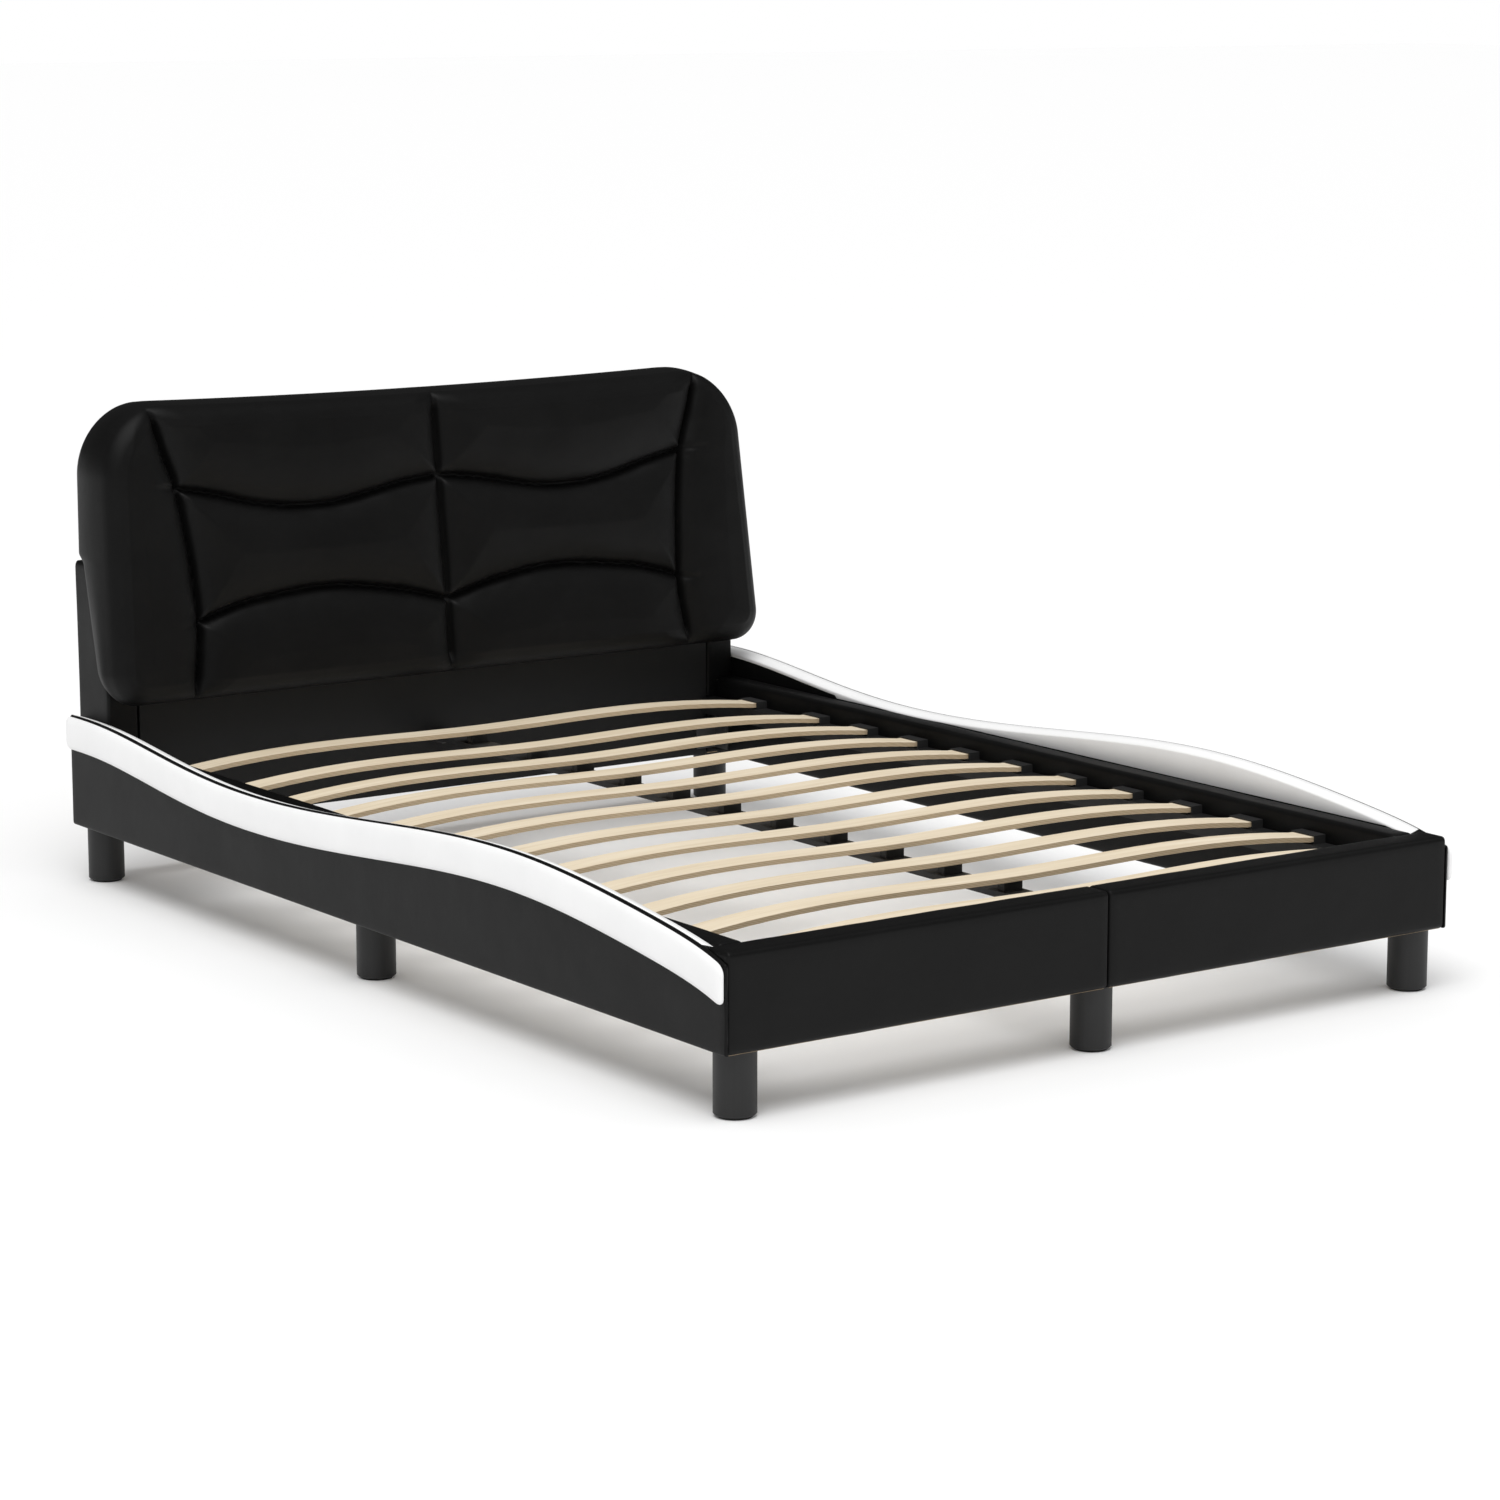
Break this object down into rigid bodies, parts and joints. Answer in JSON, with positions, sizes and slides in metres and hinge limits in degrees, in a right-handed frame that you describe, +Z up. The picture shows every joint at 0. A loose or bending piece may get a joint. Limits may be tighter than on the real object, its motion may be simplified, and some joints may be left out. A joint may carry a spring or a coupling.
{
  "type": "sleigh bed",
  "caption": "Low upholstered bed with wavy side panels, white padded trim, leaning padded headboard, arched sprung slats and round legs.",
  "frame": {"origin": "centre of the bounding box's bottom face, on the floor", "axes": "+Z up, +Y from the foot end to the headboard, +X to the right when looking from foot to head"},
  "size_m": [1.426, 2.052, 0.848],
  "materials": {
    "black_leather": "soft satin sheen, fine grain",
    "white_leather": "satin, padded",
    "slat_wood": "smooth birch ply, clear matt",
    "ledge_wood": "black stained",
    "board_wood": "raw ply and softwood",
    "back_cloth": "thin black non-woven",
    "black_plastic": "matt moulded",
    "leg_black": "satin black",
    "beam_black": "matt black",
    "steel_black": "matt black"
  },
  "bodies": {
    "root": {"beam_bracket_foot": "steel_black", "beam_bracket_head": "steel_black", "centre_beam": "beam_black", "corner_plate_bolts": "steel_black", "corner_plate_foot_left": "steel_black", "corner_plate_foot_right": "steel_black", "corner_plate_head_left": "steel_black", "corner_plate_head_right": "steel_black", "cushion_back_board": "board_wood", "footboard_core_left": "board_wood", "footboard_core_right": "board_wood", "footboard_cover_left": "black_leather", "footboard_cover_right": "black_leather", "footboard_joining_plate": "steel_black", "footboard_plate_bolts": "steel_black", "headboard_back_cloth": "back_cloth", "headboard_back_rail_high": "board_wood", "headboard_back_rail_low": "board_wood", "headboard_cushion": "black_leather", "headboard_panel_core": "board_wood", "headboard_panel_cover": "black_leather", "headboard_post_core_left": "board_wood", "headboard_post_core_right": "board_wood", "headboard_post_cover_left": "black_leather", "headboard_post_cover_right": "black_leather", "headrest_straps": "steel_black", "leg_foot_centre": "leg_black", "leg_foot_left": "leg_black", "leg_foot_right": "leg_black", "leg_glides": "black_plastic", "leg_head_left": "leg_black", "leg_head_right": "leg_black", "leg_middle_left": "leg_black", "rail_core_left": "board_wood", "rail_core_right": "board_wood", "rail_cover_left": "black_leather", "rail_cover_right": "black_leather", "side_panel_core_left": "board_wood", "side_panel_core_right": "board_wood", "side_panel_cover_left": "black_leather", "side_panel_cover_right": "black_leather", "side_trim_left": "white_leather", "side_trim_right": "white_leather", "slat_01": "slat_wood", "slat_02": "slat_wood", "slat_03": "slat_wood", "slat_04": "slat_wood", "slat_05": "slat_wood", "slat_06": "slat_wood", "slat_07": "slat_wood", "slat_08": "slat_wood", "slat_09": "slat_wood", "slat_10": "slat_wood", "slat_11": "slat_wood", "slat_12": "slat_wood", "slat_beam_holders": "black_plastic", "slat_end_caps_left": "black_plastic", "slat_end_caps_right": "black_plastic", "slat_ledge_left": "ledge_wood", "slat_ledge_right": "ledge_wood"}
  },
  "joints": []
}
